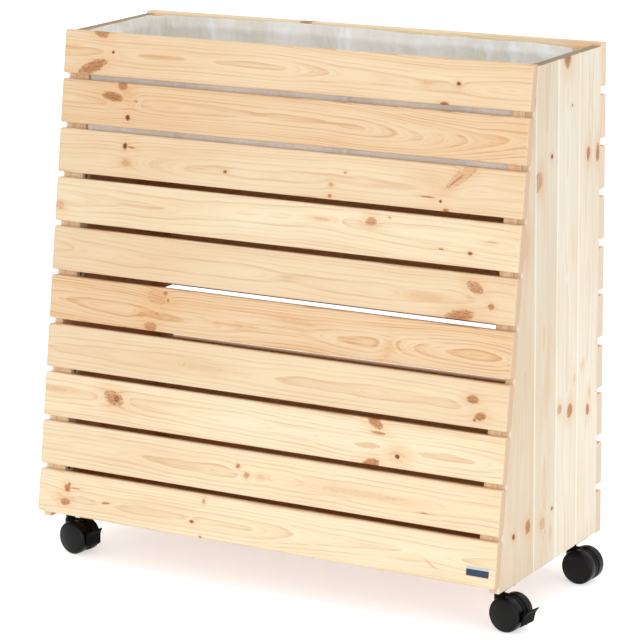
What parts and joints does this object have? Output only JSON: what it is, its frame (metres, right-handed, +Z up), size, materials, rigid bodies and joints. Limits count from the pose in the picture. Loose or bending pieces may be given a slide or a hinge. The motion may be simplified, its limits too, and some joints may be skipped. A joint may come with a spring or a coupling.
{
  "type": "rolling planter",
  "caption": "Tall slatted timber planter with a leaning front, tongue-and-groove end walls, a film-lined soil trough and twin-wheel casters.",
  "frame": {"origin": "on the ground, under the middle of the box", "axes": "+X along the box to its right end, +Y to the upright back, +Z up; the slatted front leans back as it rises and faces -Y"},
  "size_m": [0.9868, 0.409, 0.9315],
  "materials": {
    "slat_wood": "planed softwood with knots, clear oiled",
    "end_wood": "planed pale softwood, V-jointed",
    "inner_wood": "sawn softwood",
    "liner_film": "thin translucent film",
    "black_plastic": "moulded black nylon, satin",
    "zinc_steel": "zinc plated",
    "label": "blank dark plate"
  },
  "bodies": {
    "planter_box": {"front_slat_1": "slat_wood", "front_slat_2": "slat_wood", "front_slat_3": "slat_wood", "front_slat_4": "slat_wood", "front_slat_5": "slat_wood", "front_slat_6": "slat_wood", "front_slat_7": "slat_wood", "front_slat_8": "slat_wood", "front_slat_9": "slat_wood", "front_slat_10": "slat_wood", "back_slat_1": "slat_wood", "back_slat_2": "slat_wood", "back_slat_3": "slat_wood", "back_slat_4": "slat_wood", "back_slat_5": "slat_wood", "back_slat_6": "slat_wood", "back_slat_7": "slat_wood", "back_slat_8": "slat_wood", "back_slat_9": "slat_wood", "back_slat_10": "slat_wood", "left_end_board_1": "end_wood", "left_end_board_2": "end_wood", "left_end_board_3": "end_wood", "left_end_board_4": "end_wood", "right_end_board_1": "end_wood", "right_end_board_2": "end_wood", "right_end_board_3": "end_wood", "right_end_board_4": "end_wood", "front_upper_battens": "inner_wood", "front_lower_battens": "inner_wood", "back_upper_battens": "inner_wood", "back_lower_battens": "inner_wood", "base_rails": "inner_wood", "base_floor": "inner_wood", "left_floor_cleat": "inner_wood", "right_floor_cleat": "inner_wood", "trough_floor": "inner_wood", "liner": "liner_film", "label_plate": "label", "wood_screws": "zinc_steel", "caster_plates": "zinc_steel", "caster_screws": "zinc_steel"},
    "front_right_swivel": {"front_right_housing": "black_plastic", "front_right_axle": "zinc_steel"},
    "front_right_near_roller": {"front_right_near_wheel": "black_plastic"},
    "front_right_far_roller": {"front_right_far_wheel": "black_plastic"},
    "front_right_brake": {"front_right_brake_pedal": "black_plastic"},
    "front_left_swivel": {"front_left_housing": "black_plastic", "front_left_axle": "zinc_steel"},
    "front_left_near_roller": {"front_left_near_wheel": "black_plastic"},
    "front_left_far_roller": {"front_left_far_wheel": "black_plastic"},
    "front_left_brake": {"front_left_brake_pedal": "black_plastic"},
    "back_right_swivel": {"back_right_housing": "black_plastic", "back_right_axle": "zinc_steel"},
    "back_right_near_roller": {"back_right_near_wheel": "black_plastic"},
    "back_right_far_roller": {"back_right_far_wheel": "black_plastic"},
    "back_left_swivel": {"back_left_housing": "black_plastic", "back_left_axle": "zinc_steel"},
    "back_left_near_roller": {"back_left_near_wheel": "black_plastic"},
    "back_left_far_roller": {"back_left_far_wheel": "black_plastic"}
  },
  "joints": [
    {"name": "front_right_swivel_turn", "type": "hinge", "parent": "planter_box", "child": "front_right_swivel", "pos_m": [0.4315, -0.13768, 0.075], "axis": [0, 0, 1], "continuous": true},
    {"name": "front_right_near_wheel_spin", "type": "hinge", "parent": "front_right_swivel", "child": "front_right_near_roller", "pos_m": [0.45329, -0.14074, 0.03], "axis": [0.1392, 0.9903, 0], "continuous": true},
    {"name": "front_right_far_wheel_spin", "type": "hinge", "parent": "front_right_swivel", "child": "front_right_far_roller", "pos_m": [0.45329, -0.14074, 0.03], "axis": [0.1392, 0.9903, 0], "continuous": true},
    {"name": "front_right_brake_press", "type": "hinge", "parent": "front_right_swivel", "child": "front_right_brake", "pos_m": [0.47557, -0.14387, 0.019], "axis": [0.1392, 0.9903, 0], "range_deg": [-12, 0]},
    {"name": "front_left_swivel_turn", "type": "hinge", "parent": "planter_box", "child": "front_left_swivel", "pos_m": [-0.4315, -0.13768, 0.075], "axis": [0, 0, 1], "continuous": true},
    {"name": "front_left_near_wheel_spin", "type": "hinge", "parent": "front_left_swivel", "child": "front_left_near_roller", "pos_m": [-0.40977, -0.14112, 0.03], "axis": [0.1564, 0.9877, 0], "continuous": true},
    {"name": "front_left_far_wheel_spin", "type": "hinge", "parent": "front_left_swivel", "child": "front_left_far_roller", "pos_m": [-0.40977, -0.14112, 0.03], "axis": [0.1564, 0.9877, 0], "continuous": true},
    {"name": "front_left_brake_press", "type": "hinge", "parent": "front_left_swivel", "child": "front_left_brake", "pos_m": [-0.38755, -0.14464, 0.019], "axis": [0.1564, 0.9877, 0], "range_deg": [0, 12]},
    {"name": "back_right_swivel_turn", "type": "hinge", "parent": "planter_box", "child": "back_right_swivel", "pos_m": [0.4315, 0.13768, 0.075], "axis": [0, 0, 1], "continuous": true},
    {"name": "back_right_near_wheel_spin", "type": "hinge", "parent": "back_right_swivel", "child": "back_right_near_roller", "pos_m": [0.45345, 0.13614, 0.03], "axis": [0.0698, 0.9976, 0], "continuous": true},
    {"name": "back_right_far_wheel_spin", "type": "hinge", "parent": "back_right_swivel", "child": "back_right_far_roller", "pos_m": [0.45345, 0.13614, 0.03], "axis": [0.0698, 0.9976, 0], "continuous": true},
    {"name": "back_left_swivel_turn", "type": "hinge", "parent": "planter_box", "child": "back_left_swivel", "pos_m": [-0.4315, 0.13768, 0.075], "axis": [0, 0, 1], "continuous": true},
    {"name": "back_left_near_wheel_spin", "type": "hinge", "parent": "back_left_swivel", "child": "back_left_near_roller", "pos_m": [-0.45217, 0.13015, 0.03], "axis": [0.342, -0.9397, 0], "continuous": true},
    {"name": "back_left_far_wheel_spin", "type": "hinge", "parent": "back_left_swivel", "child": "back_left_far_roller", "pos_m": [-0.45217, 0.13015, 0.03], "axis": [0.342, -0.9397, 0], "continuous": true}
  ]
}
